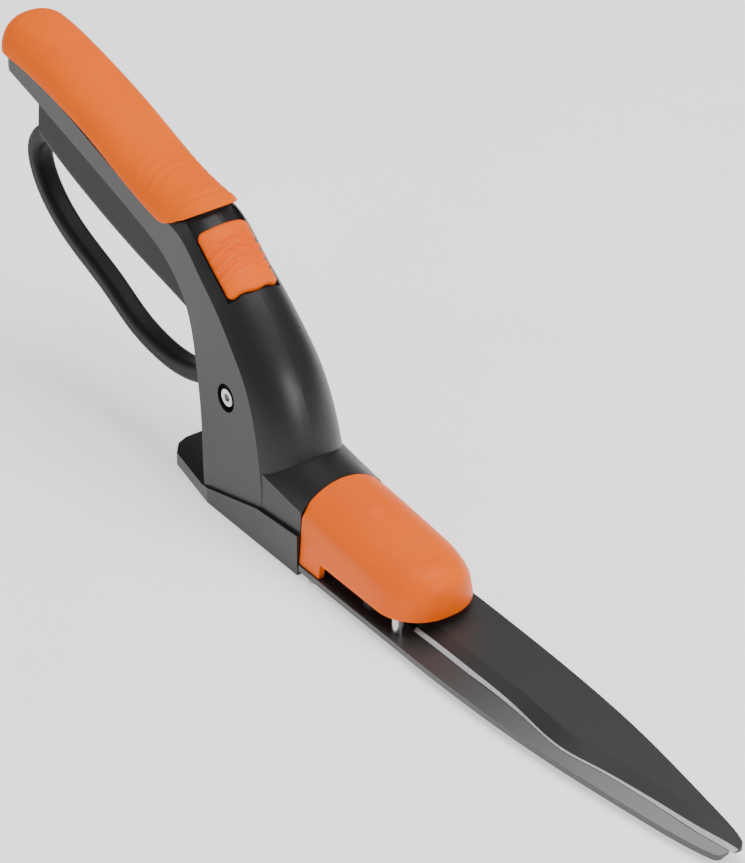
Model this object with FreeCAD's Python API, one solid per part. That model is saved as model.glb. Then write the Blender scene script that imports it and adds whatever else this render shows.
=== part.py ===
import FreeCAD, Part
import math
import os

os.makedirs("parts", exist_ok=True)

Vec = FreeCAD.Vector

# Grass shears. Millimetres, +X to the blade tips, +Y left, +Z up.
# The origin is the middle of the sole's flat face, straight under the lever's pivot.

# Overall sizes
handle_length = 91.0          # handle behind the neck
blade_length = 141.0          # cutting length, heel to tip
shell_wall = 2.0
crown_wall = 3.4              # thicker roof that carries the lock button

# Handle and neck: each station is a crown point, an inner point and a half width
neck_back_x = -46.0
handle_half = 11.8
rear_depth = 9.0              # length of the rounded rear end
skirt_half = 17.0
seam_x = 42.0                 # front face of the housing
seam_gap = 0.3
shoulder_half = 16.4
shoulder_side_z = 22.6
shoulder_rise = 7.4
shoulder_rear_x = 8.0         # inside the neck, where the shoulder is taller at its sides
shoulder_rear_side_z = 27.3
shoulder_rear_rise = 3.1
side_lean = 1.1               # the flanks lean in towards the roof
heel_x = -38.0
heel_top_z = 4.5
ledge_kink = (20.0, 12.9)
ledge_front_z = 14.6
arch_ratio = 0.6              # height of a station's arched crown over its half width

# Grip cover
grip_side_gap = 0.7
grip_top_z = 118.4
grip_lip_gap = 0.3            # under the lip, over the lock button

# Lever and its pivot
pivot_z = 42.5
lever_half = 6.3
guard_half = 3.8
guard_thick = 6.6
bar_round = 4.2               # rounding under the finger bar
guard_round = 2.2
arm_half = 4.2                # half width of the arm at the drive pin
hub_radius = 9.0
arm_radius = 20.0             # pivot to the drive pin
lever_swing = 17.0            # degrees from shut to open
lever_gap = 1.3               # each side of the lever in the neck's slot
bush_radius = 4.0
screw_radius = 2.5
fit_gap = 0.05
pivot_head_radius = 2.95
pivot_head_height = 2.0
counterbore_radius = 4.7
pivot_boss_radius = 6.5
pivot_boss_y = 10.5
pivot_skin_y = 14.5
nut_flats = 8.0
nut_height = 3.6

# Lock peg on the lever
peg_x = -11.5
peg_z = 63.5
peg_radius = 1.5
hook_y0 = lever_half + 0.6
hook_y1 = 9.4

# Return spring
spring_wire = 1.0
spring_radius = 6.5
spring_turns = 2.5
free_leg = 16.4               # lies on the lever's pad
fixed_leg = 12.3              # bears on the neck's rear wall

# Drive
drive_pin_radius = 2.0
drive_slot_gap = 0.15
slider_thick = 2.0
slider_z = 8.6
slider_left_y = -5.0
slider_right_y = -13.6
slider_waist_y = -11.8        # beside the cover's feet
slider_bend_y = -6.8
slider_rear_x = -5.0
guide_pin_x = (20.0, 50.0)
guide_pin_y = -8.0
guide_pin_radius = 1.8

# Blades
blade_thick = 2.2
blade_gap = 0.2
upper_thick = 2.5
lower_z = 2.0
heel_edge_x = 92.0
edge_y = 8.7                  # cutting edge at the heel, off the mid-plane
upper_back_y = 16.0           # backs at the heel, off the mid-plane
lower_back_y = 16.9
bevel_slope = 0.95            # rise of the sharpened bevel over its width
band_width = 5.2              # shallow ground band behind the bevel
tip_round = 2.1               # rounding of the back at the tip
tip_corner = 1.0              # rounding of the edge at the tip
tip_lean = 17.0               # degrees the back leans in where the rounding starts
lower_tip_short = 2.0         # the lower blade ends behind the upper one
blade_pivot_x = 74.0
blade_pivot_y = 3.5
blade_swing = 26.0            # degrees from shut to open
blade_bolt_radius = 3.0
stud_radius = 2.1
tail_radius = 12.6
stop_pin_radius = 1.95
stop_pin_x = 89.4
stop_pin_y = -12.7

# Blade cover
cover_front_x = 98.5
cover_half = 16.3
cover_wall = 2.0
cover_bottom_z = 10.0
cover_foot_x = 53.0
cover_nose_radius = 15.0
cover_edge_radius = 5.0
foot_gap = 0.1
foot_width = 3.6

# Lock button
button_length = 24.0
button_travel = 5.0
button_half_angle = 41.0
button_bed_radius = 12.8
button_thick = 2.7
button_gap = 0.15
button_side_gap = 1.6         # degrees, each side
button_mid = (-12.8, 82.2)     # on the slide bed
button_slope = 38.5           # degrees below level
stem_half_x = 4.0             # the button's stem goes through the roof to the latch
stem_half_y = 2.4
latch_half = 4.6              # half length of the latch block
latch_low = -10.4             # under the slide bed
latch_arm_low = -8.2
hook_foot_z = 54.9

# Fasteners
small_screw_radius = 1.5
small_head_radius = 2.8
small_head_height = 1.8
screw_fit = 0.02
boss_radius = 3.3
plate_screw_radius = 2.0
plate_head_radius = 3.4
sole_thick = 1.9
sole_inset = 1.7
carrier_thick = 2.0
carrier_half = 10.0

# Derived values
slider_travel = arm_radius * math.sin(math.radians(lever_swing))
stud_offset = slider_travel / math.sin(math.radians(blade_swing))
stud_x = blade_pivot_x
stud_y = blade_pivot_y - stud_offset
upper_z = lower_z + blade_thick + blade_gap
upper_top_z = upper_z + upper_thick
carrier_z = lower_z + blade_thick
tip_x = heel_edge_x + blade_length
pin_z = pivot_z - arm_radius


def handle_x(share):
    """A place along the handle, 0 at the neck and 1 at the rear end."""
    return neck_back_x - handle_length * share


def blade_x(share):
    """A place along the cutting length, 0 at the heel and 1 at the tip."""
    return heel_edge_x + blade_length * share


def closed_face(points):
    return Part.Face(Part.makePolygon(points + [points[0]]))


def side_prism(points, y0, y1):
    """An outline in the side view, (x, z) points, between two values of y."""
    face = closed_face([Vec(x, y0, z) for x, z in points])
    return face.extrude(Vec(0, y1 - y0, 0))


def plan_prism(points, z0, z1):
    """An outline seen from above, (x, y) points, between two values of z."""
    face = closed_face([Vec(x, y, z0) for x, y in points])
    return face.extrude(Vec(0, 0, z1 - z0))


def box(x0, x1, y0, y1, z0, z1):
    return Part.makeBox(x1 - x0, y1 - y0, z1 - z0, Vec(x0, y0, z0))


def rod_y(x, z, radius, y0, y1):
    return Part.makeCylinder(radius, y1 - y0, Vec(x, y0, z), Vec(0, 1, 0))


def rod_z(x, y, radius, z0, z1):
    return Part.makeCylinder(radius, z1 - z0, Vec(x, y, z0), Vec(0, 0, 1))


def hexagon(centre, axis, flats, height):
    """A hexagonal prism that stands on centre and rises along axis."""
    corner = flats / math.sqrt(3.0)
    points = []
    for step in range(6):
        angle = math.radians(60.0 * step)
        points.append(Vec(corner * math.cos(angle), corner * math.sin(angle), 0))
    solid = closed_face(points).extrude(Vec(0, 0, height))
    solid.Placement = FreeCAD.Placement(centre, FreeCAD.Rotation(Vec(0, 0, 1), axis))
    return solid


def curve(points):
    spline = Part.BSplineCurve()
    spline.interpolate(points)
    return spline.toShape()


def slot_z(x0, y0, x1, y1, radius, z0, z1):
    """A round-ended slot seen from above."""
    ends = rod_z(x0, y0, radius, z0, z1).fuse(rod_z(x1, y1, radius, z0, z1))
    along = Vec(x1 - x0, y1 - y0, 0)
    across = Vec(-along.y, along.x, 0).normalize() * radius
    start = Vec(x0, y0, z0)
    end = Vec(x1, y1, z0)
    face = closed_face([start + across, end + across, end - across, start - across])
    return ends.fuse(face.extrude(Vec(0, 0, z1 - z0)))


def save(name, shape):
    shape = shape.removeSplitter()
    shape.exportStep("parts/%s.step" % name)


def station(crown, inner, half, crown_cut=0.0, inner_cut=0.0, side_cut=0.0):
    """One closed section: flat inner side, flat flanks and an arched crown."""
    crown = Vec(crown[0], 0, crown[1])
    inner = Vec(inner[0], 0, inner[1])
    up = (crown - inner).normalize()
    rise = arch_ratio * half - side_cut * 0.3
    top = crown - up * crown_cut
    foot = inner + up * inner_cut
    crease = top - up * rise
    half = half - side_cut
    side = Vec(0, half, 0)
    arc = Part.Arc(crease - side, top, crease + side).toShape()
    edges = [
        Part.makeLine(foot - side, crease - side),
        arc,
        Part.makeLine(crease + side, foot + side),
        Part.makeLine(foot + side, foot - side),
    ]
    return Part.Wire(edges)


def body_stations():
    """Crown point, inner point and half width, from the rear end to the foot."""
    handle = [
        (1.00, 113.9, 104.0),
        (0.90, 114.3, 101.5),
        (0.79, 113.6, 98.9),
        (0.69, 112.0, 96.6),
        (0.59, 109.8, 94.2),
        (0.48, 107.0, 91.5),
        (0.37, 104.0, 88.7),
        (0.26, 101.1, 85.9),
        (0.15, 98.5, 83.0),
        (0.07, 96.9, 80.8),
        (0.00, 95.8, 78.8),
    ]
    rows = [((handle_x(f), top), (handle_x(f), under), handle_half) for f, top, under in handle]
    rows += [
        ((-26.0, 93.6), (-33.0, 72.2), 12.0),
        ((-12.4, 83.7), (-25.6, 64.5), 12.3),
        ((-2.8, 76.4), (-21.8, 57.5), 12.7),
        ((7.5, 67.1), (-18.6, 48.5), 13.4),
        ((17.2, 56.5), (-16.2, 40.5), 14.1),
        ((24.6, 43.0), (-13.8, 31.0), 14.9),
        ((29.0, 28.6), (-12.2, 22.0), 15.6),
        ((30.4, 14.0), (-11.3, 10.0), 16.0),
        ((30.5, 3.0), (-11.0, 2.0), 16.0),
    ]
    return rows


def body_loft():
    return Part.makeLoft([station(c, i, h) for c, i, h in body_stations()], True, False)


def body_hollow():
    """The space inside; the thin rear end of the handle stays solid."""
    wires = []
    for crown, inner, half in body_stations()[1:]:
        wires.append(station(crown, inner, half, crown_wall, shell_wall, shell_wall))
    return Part.makeLoft(wires, True, False)


def arch_face(x, half, side_z, rise, low_z):
    """An arched doorway shape across the body, standing at x; its flanks lean in."""
    low_right = Vec(x, -half, low_z)
    right = Vec(x, -half + side_lean, side_z)
    left = Vec(x, half - side_lean, side_z)
    low_left = Vec(x, half, low_z)
    arc = Part.Arc(right, Vec(x, 0, side_z + rise), left).toShape()
    edges = [
        Part.makeLine(low_right, right), arc, Part.makeLine(left, low_left),
        Part.makeLine(low_left, low_right),
    ]
    return Part.Face(Part.Wire(edges))


def shoulder_solid():
    """The broad front of the housing, from inside the neck to the cover's seam."""
    rear = arch_face(shoulder_rear_x, shoulder_half, shoulder_rear_side_z, shoulder_rear_rise, 1.0)
    front = arch_face(seam_x, shoulder_half, shoulder_side_z, shoulder_rise, 1.0)
    return Part.makeLoft([rear.Wires[0], front.Wires[0]], True, True)


def skirt_outline(inset=0.0):
    """Plan outline of the skirt, tapering to a rounded heel."""
    half = skirt_half - inset
    rear = heel_x + inset
    front = seam_x - inset
    heel_half = 12.6 - inset
    return [
        (front, -half), (front, half), (-8.0, half), (rear + 6.0, heel_half), (rear + 1.6, heel_half - 3.6),
        (rear, 5.0), (rear, -5.0), (rear + 1.6, -heel_half + 3.6), (rear + 6.0, -heel_half), (-8.0, -half),
    ]


def skirt_solid():
    outline = plan_prism(skirt_outline(), 0.0, 40.0)
    rear = heel_x - 1
    side = side_prism(
        [(rear, 0), (seam_x, 0), (seam_x, ledge_front_z), ledge_kink, (-12.0, heel_top_z),
         (rear, heel_top_z)],
        -skirt_half - 1, skirt_half + 1,
    )
    return outline.common(side)


def housing_screw_points():
    """Side-view places of the screws that join the halves."""
    return [(handle_x(0.83), 104.9), (handle_x(0.32), 94.9), (13.0, 38.5), (34.5, 20.0)]


def button_frame():
    """Origin on the crown, forward direction and outward direction of the lock button."""
    angle = math.radians(button_slope)
    along = Vec(math.cos(angle), 0, -math.sin(angle))
    out = Vec(math.sin(angle), 0, math.cos(angle))
    return Vec(button_mid[0], 0, button_mid[1]), along, out


def saddle(inner_radius, outer_radius, half_angle, start, length):
    """A bent sheet round the button's slide axis: the bed's space and the button share it."""
    origin, along, out = button_frame()
    axis = origin - out * button_bed_radius
    base = axis + along * start
    angle = math.radians(half_angle)

    def rim(radius, turn):
        return base + out * (radius * math.cos(turn)) + Vec(0, radius * math.sin(turn), 0)

    outer = Part.Arc(rim(outer_radius, -angle), rim(outer_radius, 0), rim(outer_radius, angle)).toShape()
    inner = Part.Arc(rim(inner_radius, angle), rim(inner_radius, 0), rim(inner_radius, -angle)).toShape()
    sides = [
        Part.makeLine(rim(outer_radius, angle), rim(inner_radius, angle)),
        Part.makeLine(rim(inner_radius, -angle), rim(outer_radius, -angle)),
    ]
    wire = Part.Wire([outer, sides[0], inner, sides[1]])
    return Part.Face(wire).extrude(along * length)


def button_block(y0, y1, out0, out1, start, length):
    """A straight block in the button's own frame."""
    origin, along, out = button_frame()
    base = origin + along * start
    points = [
        base + out * out0 + Vec(0, y0, 0), base + out * out0 + Vec(0, y1, 0),
        base + out * out1 + Vec(0, y1, 0), base + out * out1 + Vec(0, y0, 0),
    ]
    return closed_face(points).extrude(along * length)


def housing_whole():
    outer = body_loft().fuse([shoulder_solid(), skirt_solid()])
    hollow = body_hollow()
    inner_half = shoulder_half - shell_wall
    cave = arch_face(2.0, inner_half, shoulder_side_z - shell_wall, shoulder_rise, sole_thick)
    cave = cave.extrude(Vec(seam_x, 0, 0))
    floor = box(-9.0, seam_x + 1, -inner_half, inner_half, -1, heel_top_z + 6.0)
    body = outer.cut(hollow.fuse([cave, floor]))
    bosses = [rod_y(x, z, boss_radius, -skirt_half, skirt_half) for x, z in housing_screw_points()]
    bosses.append(rod_y(0, pivot_z, pivot_boss_radius, -skirt_half, skirt_half))
    bosses = Part.makeCompound(bosses).common(outer)
    pivot_space = rod_y(0, pivot_z, pivot_boss_radius + 1, -pivot_boss_y, pivot_boss_y)
    body = body.fuse(bosses.cut(pivot_space))
    body = body.cut(lever_slot())
    body = body.cut(pivot_cuts())
    body = body.cut(lock_cuts())
    body = body.cut(sole_pocket())
    return body.common(rounded_rear(handle_x(0.99), handle_half))


def rounded_rear(rear_x, half):
    """The space that a handle piece may fill, with its rear end rounded in plan."""
    side_x = rear_x + rear_depth
    wide = skirt_half + 3.0
    arc = Part.Arc(Vec(side_x, half, 0), Vec(rear_x, 0, 0), Vec(side_x, -half, 0)).toShape()
    corners = [Vec(side_x, -half, 0), Vec(side_x, -wide, 0), Vec(seam_x + 1, -wide, 0),
               Vec(seam_x + 1, wide, 0), Vec(side_x, wide, 0), Vec(side_x, half, 0)]
    lines = [Part.makeLine(start, end) for start, end in zip(corners, corners[1:])]
    return Part.Face(Part.Wire([arc] + lines)).extrude(Vec(0, 0, grip_top_z + 10.0))


def lever_slot():
    half = lever_half + lever_gap
    outline = [(-44.0, 22.0), (-44.0, 78.6), (-9.0, 71.0), (-9.0, 22.0)]
    return side_prism(outline, -half, half)


def pivot_cuts():
    bore = rod_y(0, pivot_z, screw_radius + fit_gap, -20, 20)
    head = rod_y(0, pivot_z, counterbore_radius, -20, -pivot_skin_y + pivot_head_height + 0.4)
    pocket = hexagon(Vec(0, pivot_skin_y - nut_height + 0.2, pivot_z), Vec(0, 1, 0), nut_flats + 0.2, 10)
    return bore.fuse([head, pocket])


def lock_cuts():
    start = -button_length / 2 - button_travel - 0.4
    bed = saddle(button_bed_radius, button_bed_radius + 8.0, button_half_angle + button_side_gap, start,
                 button_length + button_travel + 0.8)
    side = stem_half_y + 0.3
    end = stem_half_x + 0.2
    stem = button_block(-side, side, -6.5, 1.0, -end - button_travel, 2 * end + button_travel)
    return bed.fuse(stem)


def sole_pocket():
    return plan_prism(skirt_outline(sole_inset - 0.15), -1.0, sole_thick + 0.05)


def split_halves(body):
    """The two shells, with their screw bosses drilled: heads on the left side."""
    right = body.common(box(-200, 200, -60, 0, -20, 200))
    left = body.common(box(-200, 200, 0, 60, -20, 200))
    for x, z in housing_screw_points():
        right = right.cut(rod_y(x, z, small_screw_radius + screw_fit, -8.5, 1))
        left = left.cut(rod_y(x, z, small_screw_radius + screw_fit, -1, 30))
        left = left.cut(rod_y(x, z, small_head_radius + 0.2, 8.0, 30))
    holes = [rod_z(x, y, small_screw_radius + screw_fit, -1, 4.0) for x, y in heel_screw_points()]
    return right.cut(holes), left.cut(holes)


def housing_screws():
    screws = []
    for x, z in housing_screw_points():
        shank = rod_y(x, z, small_screw_radius, -8.0, 8.0)
        head = rod_y(x, z, small_head_radius, 8.0, 8.0 + small_head_height)
        recess = hexagon(Vec(x, 8.0 + small_head_height - 1.0, z), Vec(0, 1, 0), 2.4, 2)
        screws.append(shank.fuse(head).cut(recess))
    return Part.makeCompound(screws)


def grip_cover():
    """Soft saddle over the handle's crown, open underneath, with a lip at the front."""
    rows = [
        (1.02, 115.6, 105.5), (0.98, 118.0, 105.8), (0.90, 118.8, 106.3), (0.79, 117.4, 105.8),
        (0.59, 113.3, 103.4), (0.37, 107.8, 99.2), (0.15, 101.6, 92.9), (0.02, 98.4, 89.4),
    ]
    outer_half = handle_half + grip_side_gap
    stations = [((handle_x(f), top), (handle_x(f), low), outer_half) for f, top, low in rows]
    stations[0] = (stations[0][0], stations[0][1], outer_half - 1.6)
    stations.append(((-36.0, 97.4), (-37.5, 86.6), outer_half))
    stations.append(((-24.0, 95.6), (-31.0, 84.6), outer_half - 0.2))
    wires = [station(c, i, h) for c, i, h in stations]
    outer = Part.makeLoft(wires, True, False)
    outer = outer.common(rounded_rear(handle_x(1.02), outer_half + 0.1))
    return outer.cut([body_loft(), lip_corner(), button_sweep()])


def lip_corner():
    """What is trimmed under the grip's front edge, which curves up from its flanks to the crown."""
    start = Vec(-46.0, -skirt_half, 86.0)
    end = Vec(-17.0, -skirt_half, 98.5)
    arc = Part.Arc(start, Vec(-33.0, -skirt_half, 89.0), end).toShape()
    drop = Vec(0, 0, -8.0)
    corners = [end, end + drop, start + drop, start]
    lines = [Part.makeLine(first, last) for first, last in zip(corners, corners[1:])]
    return Part.Face(Part.Wire([arc] + lines)).extrude(Vec(0, 2 * skirt_half, 0))


def button_sweep():
    """The room that the lock button needs as it slides back under the grip's lip."""
    start = -button_length / 2 - button_travel - grip_lip_gap
    return saddle(button_bed_radius - 1.0, button_bed_radius + button_thick + grip_lip_gap,
                  button_half_angle + button_side_gap, start, button_length)


def sole_plate():
    plate = plan_prism(skirt_outline(sole_inset), 0.0, sole_thick)
    for x, y in plate_screw_points():
        plate = plate.cut(rod_z(x, y, plate_screw_radius + fit_gap, -1, 5))
        plate = plate.cut(rod_z(x, y, plate_head_radius + 0.1, -1, 1.4))
    for x, y in heel_screw_points():
        plate = plate.cut(rod_z(x, y, small_screw_radius + fit_gap, -1, 5))
        plate = plate.cut(rod_z(x, y, small_head_radius + 0.1, -1, 1.3))
    return plate


def plate_screw_points():
    return [(12.0, -6.5), (12.0, 6.5), (34.0, -6.5), (34.0, 6.5)]


def heel_screw_points():
    return [(-27.0, -6.0), (-27.0, 6.0)]


def sole_screws():
    screws = []
    for x, y in plate_screw_points():
        head = rod_z(x, y, plate_head_radius, 0.3, 1.4)
        shank = rod_z(x, y, plate_screw_radius, 1.4, carrier_z + carrier_thick + 0.4)
        screws.append(head.fuse(shank).cut(hexagon(Vec(x, y, 0.0), Vec(0, 0, 1), 2.5, 1.0)))
    return Part.makeCompound(screws)


def heel_screws():
    screws = []
    for x, y in heel_screw_points():
        head = rod_z(x, y, small_head_radius, 0.3, 1.3)
        shank = rod_z(x, y, small_screw_radius, 1.3, 3.9)
        screws.append(head.fuse(shank).cut(hexagon(Vec(x, y, 0.0), Vec(0, 0, 1), 2.0, 0.9)))
    return Part.makeCompound(screws)


def upper_rows():
    """Back rows (share, drop) and edge rows (share, drop, land) of the upper blade.

    A drop is how far the outline has come in since the heel. The land is the height left
    at the edge once the band is ground. The tip is its middle and its edge, off the mid-plane.
    """
    back = [(0.0, 0.0), (0.20, 0.1), (0.41, 0.9), (0.60, 2.8), (0.77, 5.8), (0.90, 8.4), (0.955, 9.7)]
    edge = [
        (0.0, 0.0, 0.65), (0.20, 0.4, 0.65), (0.34, 0.8, 0.40), (0.42, 0.2, 0.26), (0.49, -0.3, 0.22),
        (0.55, 0.5, 0.22), (0.61, 2.4, 0.24), (0.70, 4.5, 0.32), (0.80, 6.2, 0.48), (0.90, 7.7, 0.68),
    ]
    tip = (3.1, 1.1, 0.78)
    return back, edge, tip


def lower_rows():
    """The same for the lower blade, whose tip reaches across under the upper one."""
    back = [(0.0, 0.0), (0.20, 0.2), (0.41, 1.7), (0.60, 4.4), (0.77, 7.7), (0.90, 10.7), (0.945, 12.2)]
    edge = [
        (0.0, 0.0, 0.65), (0.20, 0.4, 0.65), (0.42, 0.2, 0.5), (0.55, 0.5, 0.4), (0.70, 2.7, 0.4),
        (0.85, 5.2, 0.5),
    ]
    tip = (1.4, -1.6, 0.6)
    return back, edge, tip


def blade_solid(side, heel_back_y, rows, end_x, z0, z1):
    """The free length of a blade: bowed back, edge that turns in, rounded tip.

    side is +1 for the upper blade, whose back is on the left, and -1 for the lower one.
    """
    back, edge, (tip_y, tip_edge_y, tip_land) = rows

    def place(x, out):
        return Vec(x, side * out, z0)

    lean = math.radians(tip_lean)
    middle_x = end_x - tip_round
    half_turn = (math.pi / 2 - lean) / 2
    bite = tip_corner * (1 - math.sqrt(0.5))
    back_points = [place(blade_x(share), heel_back_y - drop) for share, drop in back]
    back_points.append(place(middle_x + tip_round * math.sin(lean), tip_y + tip_round * math.cos(lean)))
    back_mid = place(middle_x + tip_round * math.cos(half_turn), tip_y + tip_round * math.sin(half_turn))
    edge_points = [place(blade_x(share), drop - edge_y) for share, drop, land in edge]
    edge_points.append(place(end_x - tip_corner, tip_edge_y))
    end_back = place(end_x, tip_y)
    end_edge = place(end_x, tip_edge_y + tip_corner)
    outline = [
        curve(back_points),
        Part.Arc(back_points[-1], back_mid, end_back).toShape(),
        Part.makeLine(end_back, end_edge),
        Part.Arc(end_edge, place(end_x - bite, tip_edge_y + bite), edge_points[-1]).toShape(),
        curve(list(reversed(edge_points))),
        Part.makeLine(edge_points[0], back_points[0]),
    ]
    return Part.Face(Part.Wire(outline)).extrude(Vec(0, 0, z1 - z0))


def grind(side, rows, end_x, z_flat, z_face):
    """The band and the bevel ground off along the cutting edge, as two long wedges."""
    back, edge, (tip_y, tip_edge_y, tip_land) = rows
    rise = z_face - z_flat
    up = math.copysign(1.0, rise)
    spots = [(blade_x(share), drop - edge_y, land) for share, drop, land in edge]
    spots.insert(0, (heel_edge_x - 3.0, spots[0][1], spots[0][2]))
    spots.append((end_x - tip_corner, tip_edge_y, tip_land))
    spots.append((end_x + 0.3, tip_edge_y + 0.1, tip_land))
    outside = 1.0
    bevel_depth = 1.2 * abs(rise) / bevel_slope
    bands = []
    bevels = []
    for x, out, land in spots:
        z_land = z_flat + up * land
        slope = (z_face - z_land) / band_width
        bevel_rise = up * bevel_slope
        band = [(-outside, z_land - slope * outside), (band_width, z_face),
                (band_width, z_face + rise), (-outside, z_face + rise)]
        bevel_top = z_flat + bevel_rise * bevel_depth
        bevel = [(-outside, z_flat - bevel_rise * outside), (bevel_depth, bevel_top), (-outside, bevel_top)]
        for wedges, section in ((bands, band), (bevels, bevel)):
            corners = [Vec(x, side * (out + inward), z) for inward, z in section]
            wedges.append(Part.makePolygon(corners + corners[:1]))
    return [Part.makeLoft(bands, True, False), Part.makeLoft(bevels, True, False)]


def upper_blade():
    rows = upper_rows()
    blade = blade_solid(1, upper_back_y, rows, tip_x, upper_z, upper_top_z)
    for wedge in grind(1, rows, tip_x, upper_z, upper_top_z):
        blade = blade.cut(wedge)
    disc = rod_z(blade_pivot_x, blade_pivot_y, tail_radius, upper_z, upper_top_z)
    lug = slot_z(stud_x, blade_pivot_y, stud_x, stud_y, 4.0, upper_z, upper_top_z)
    joint_x = heel_edge_x + 0.5
    root = plan_prism(
        [(blade_pivot_x, -5.5), (84.0, -4.5), (heel_edge_x, -edge_y + 1.5), (joint_x, -edge_y + 1.5),
         (joint_x, upper_back_y), (blade_pivot_x + 3, upper_back_y - 0.4)],
        upper_z, upper_top_z,
    )
    tail = disc.fuse([lug, root])
    blade = blade.fuse(tail)
    blade = blade.cut(rod_z(blade_pivot_x, blade_pivot_y, blade_bolt_radius + fit_gap, 0, 20))
    return blade.cut(rod_z(stud_x, stud_y, stud_radius - 0.5, 0, 20))


def lower_blade():
    z0 = lower_z
    z1 = lower_z + blade_thick
    rows = lower_rows()
    end_x = tip_x - lower_tip_short
    blade = blade_solid(-1, lower_back_y, rows, end_x, z0, z1)
    for wedge in grind(-1, rows, end_x, z1, z0):
        blade = blade.cut(wedge)
    joint_x = heel_edge_x + 0.5
    root = plan_prism(
        [(seam_x + 0.6, -lower_back_y), (joint_x, -lower_back_y), (joint_x, edge_y - 1.5),
         (86.0, 12.5), (seam_x + 0.6, 12.5)],
        z0, z1,
    )
    tang = box(4.0, seam_x + 1.0, -carrier_half, carrier_half, z0, z1)
    blade = blade.fuse([root, tang])
    blade = blade.cut(rod_z(blade_pivot_x, blade_pivot_y, blade_bolt_radius + fit_gap, 0, 20))
    blade = blade.cut(rod_z(stop_pin_x, stop_pin_y, stop_pin_radius - 0.45, 0, 20))
    for x, y in plate_screw_points():
        blade = blade.cut(rod_z(x, y, plate_screw_radius + fit_gap, 0, 20))
    for x, y in cover_screw_points():
        blade = blade.cut(rod_z(x, y, small_screw_radius + fit_gap, 0, 20))
    return blade


def carrier_plate():
    plate = box(4.0, 58.0, -carrier_half, carrier_half, carrier_z, carrier_z + carrier_thick)
    for x, y in plate_screw_points():
        plate = plate.cut(rod_z(x, y, plate_screw_radius + screw_fit, 0, 20))
    for x in guide_pin_x:
        plate = plate.cut(rod_z(x, guide_pin_y, guide_pin_radius, 0, 20))
    return plate


def guide_pins():
    pins = []
    for x in guide_pin_x:
        shank = rod_z(x, guide_pin_y, guide_pin_radius, carrier_z, slider_z + slider_thick + 0.2)
        collar = rod_z(x, guide_pin_y, guide_pin_radius + 1.0, carrier_z + carrier_thick, slider_z - 0.1)
        head_z = slider_z + slider_thick + 0.1
        head = rod_z(x, guide_pin_y, guide_pin_radius + 1.4, head_z, head_z + 1.1)
        pins.append(shank.fuse([collar, head]))
    return Part.makeCompound(pins)


def drive_slider():
    """Bent strap: upright ear at the rear for the lever's pin, cross slot in front for the stud."""
    top = slider_z + slider_thick
    waist_end_x = cover_foot_x + 1.5
    plate = plan_prism(
        [(slider_rear_x, slider_waist_y), (waist_end_x, slider_waist_y),
         (waist_end_x + 2.0, slider_right_y), (stud_x + 5.0, slider_right_y),
         (stud_x + 5.0, slider_left_y), (guide_pin_x[0] - 8.0, slider_left_y),
         (guide_pin_x[0] - 10.0, slider_bend_y), (slider_rear_x, slider_bend_y)],
        slider_z, top,
    )
    ear = side_prism(
        [(slider_rear_x, slider_z), (10.0, slider_z), (6.0, pin_z + 4.0), (slider_rear_x, pin_z + 5.2)],
        slider_bend_y - slider_thick, slider_bend_y,
    )
    pin_rise = arm_radius * (1 - math.cos(math.radians(lever_swing)))
    hole = drive_pin_radius + drive_slot_gap
    upright = rod_y(0, pin_z, hole, -20, 0).fuse(
        [rod_y(0, pin_z + pin_rise, hole, -20, 0), box(-hole, hole, -20, 0, pin_z, pin_z + pin_rise)])
    stud_shift = stud_offset * (1 - math.cos(math.radians(blade_swing)))
    gap = stud_radius + drive_slot_gap
    cross = slot_z(stud_x, stud_y, stud_x, stud_y + stud_shift, gap, 0, 30)
    strap = plate.fuse(ear).cut(upright).cut(cross)
    for x in guide_pin_x:
        slot = slot_z(x - slider_travel, guide_pin_y, x, guide_pin_y, guide_pin_radius + 0.1, 0, 30)
        strap = strap.cut(slot)
    return strap


def link_pin():
    head_y = slider_bend_y - slider_thick - 0.2
    shank = rod_y(0, pin_z, drive_pin_radius, head_y - 0.1, lever_half - 0.5)
    head = rod_y(0, pin_z, drive_pin_radius + 1.1, head_y - 1.3, head_y)
    return shank.fuse(head)


def drive_stud():
    shank = rod_z(stud_x, stud_y, stud_radius, upper_top_z, slider_z + slider_thick + 0.3)
    rivet = rod_z(stud_x, stud_y, stud_radius - 0.5, upper_z, upper_top_z + 0.1)
    cap_z = slider_z + slider_thick + 0.2
    cap = rod_z(stud_x, stud_y, stud_radius + 0.9, cap_z, cap_z + 1.0)
    return shank.fuse([rivet, cap])


def blade_pivot_bolt():
    head = rod_z(blade_pivot_x, blade_pivot_y, 6.0, 0.4, lower_z)
    shank = rod_z(blade_pivot_x, blade_pivot_y, blade_bolt_radius, lower_z, upper_top_z + 8.2)
    return head.fuse(shank)


def ring(radius, bore, z0, z1):
    disc = rod_z(blade_pivot_x, blade_pivot_y, radius, z0, z1)
    return disc.cut(rod_z(blade_pivot_x, blade_pivot_y, bore, z0 - 1, z1 + 1))


def pivot_lock_nut():
    nut = hexagon(Vec(blade_pivot_x, blade_pivot_y, upper_top_z + 1.2), Vec(0, 0, 1), 10.0, 4.6)
    collar = rod_z(blade_pivot_x, blade_pivot_y, 4.4, upper_top_z + 5.8, upper_top_z + 7.2)
    return nut.fuse(collar).cut(rod_z(blade_pivot_x, blade_pivot_y, blade_bolt_radius + screw_fit, 0, 30))


def stop_pin():
    body = rod_z(stop_pin_x, stop_pin_y, stop_pin_radius, lower_z + blade_thick, cover_bottom_z - 0.1)
    rivet = rod_z(stop_pin_x, stop_pin_y, stop_pin_radius - 0.45, lower_z, lower_z + blade_thick + 0.1)
    return body.fuse(rivet)


def cover_screw_points():
    return [(48.0, -14.3), (48.0, 14.3)]


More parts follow.
